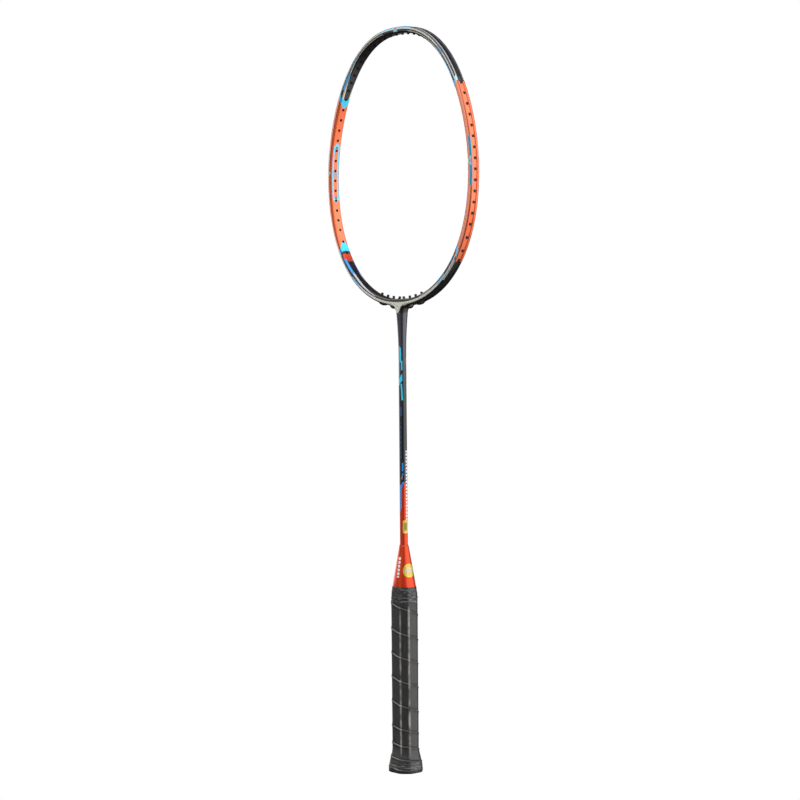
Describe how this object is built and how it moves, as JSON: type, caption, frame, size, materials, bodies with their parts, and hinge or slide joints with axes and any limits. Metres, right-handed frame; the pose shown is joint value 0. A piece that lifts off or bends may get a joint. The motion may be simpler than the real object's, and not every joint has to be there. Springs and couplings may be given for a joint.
{
  "type": "badminton racket",
  "caption": "Unstrung badminton racket: hollow carbon head and shaft joined by an inner T-joint, with a cone cap, wooden handle, wrapped grip and butt cap.",
  "frame": {"origin": "centre of the butt cap's flat end face", "axes": "+Z along the shaft to the top of the head, +X across the head, +Y out of the string plane"},
  "size_m": [0.1992, 0.0282, 0.675],
  "materials": {
    "frame_paint": "lacquered carbon: metallic orange-red sides, gloss black top and throat, blue accents",
    "shaft_paint": "lacquered carbon: gloss black fading to metallic orange-red, with blue dashes",
    "cone_paint": "metallic orange-red lacquer",
    "black_nylon": "moulded black nylon, satin",
    "joint_resin": "cast grey-black resin",
    "pale_wood": "bare pale hardwood",
    "cap_plastic": "moulded black plastic, fine texture",
    "wrap_foam": "black polyurethane grip, satin, spiral wound",
    "tape_vinyl": "black vinyl tape, glossy",
    "staple_steel": "bright drawn wire"
  },
  "bodies": {
    "root": {"head_frame": "frame_paint", "throat_joint": "joint_resin", "shaft": "shaft_paint", "cone_cap": "cone_paint", "handle_core": "pale_wood", "butt_cap": "cap_plastic", "butt_staple_back": "staple_steel", "butt_staple_front": "staple_steel", "grip_wrap": "wrap_foam", "finishing_tape": "tape_vinyl", "top_grommet_strip": "black_nylon", "shoulder_grommet_strip_right": "black_nylon", "lower_grommet_strip_right": "black_nylon", "grommet_right_01": "black_nylon", "grommet_right_02": "black_nylon", "grommet_right_03": "black_nylon", "grommet_right_04": "black_nylon", "grommet_right_05": "black_nylon", "grommet_right_06": "black_nylon", "grommet_right_07": "black_nylon", "grommet_right_08": "black_nylon", "grommet_right_09": "black_nylon", "grommet_right_10": "black_nylon", "grommet_right_11": "black_nylon", "grommet_right_12": "black_nylon", "grommet_right_13": "black_nylon", "grommet_right_14": "black_nylon", "grommet_right_15": "black_nylon", "grommet_right_16": "black_nylon", "throat_grommet_right_1": "black_nylon", "throat_grommet_right_2": "black_nylon", "throat_grommet_right_3": "black_nylon", "throat_grommet_right_4": "black_nylon", "shoulder_grommet_strip_left": "black_nylon", "lower_grommet_strip_left": "black_nylon", "grommet_left_01": "black_nylon", "grommet_left_02": "black_nylon", "grommet_left_03": "black_nylon", "grommet_left_04": "black_nylon", "grommet_left_05": "black_nylon", "grommet_left_06": "black_nylon", "grommet_left_07": "black_nylon", "grommet_left_08": "black_nylon", "grommet_left_09": "black_nylon", "grommet_left_10": "black_nylon", "grommet_left_11": "black_nylon", "grommet_left_12": "black_nylon", "grommet_left_13": "black_nylon", "grommet_left_14": "black_nylon", "grommet_left_15": "black_nylon", "grommet_left_16": "black_nylon", "throat_grommet_left_1": "black_nylon", "throat_grommet_left_2": "black_nylon", "throat_grommet_left_3": "black_nylon", "throat_grommet_left_4": "black_nylon"}
  },
  "joints": []
}
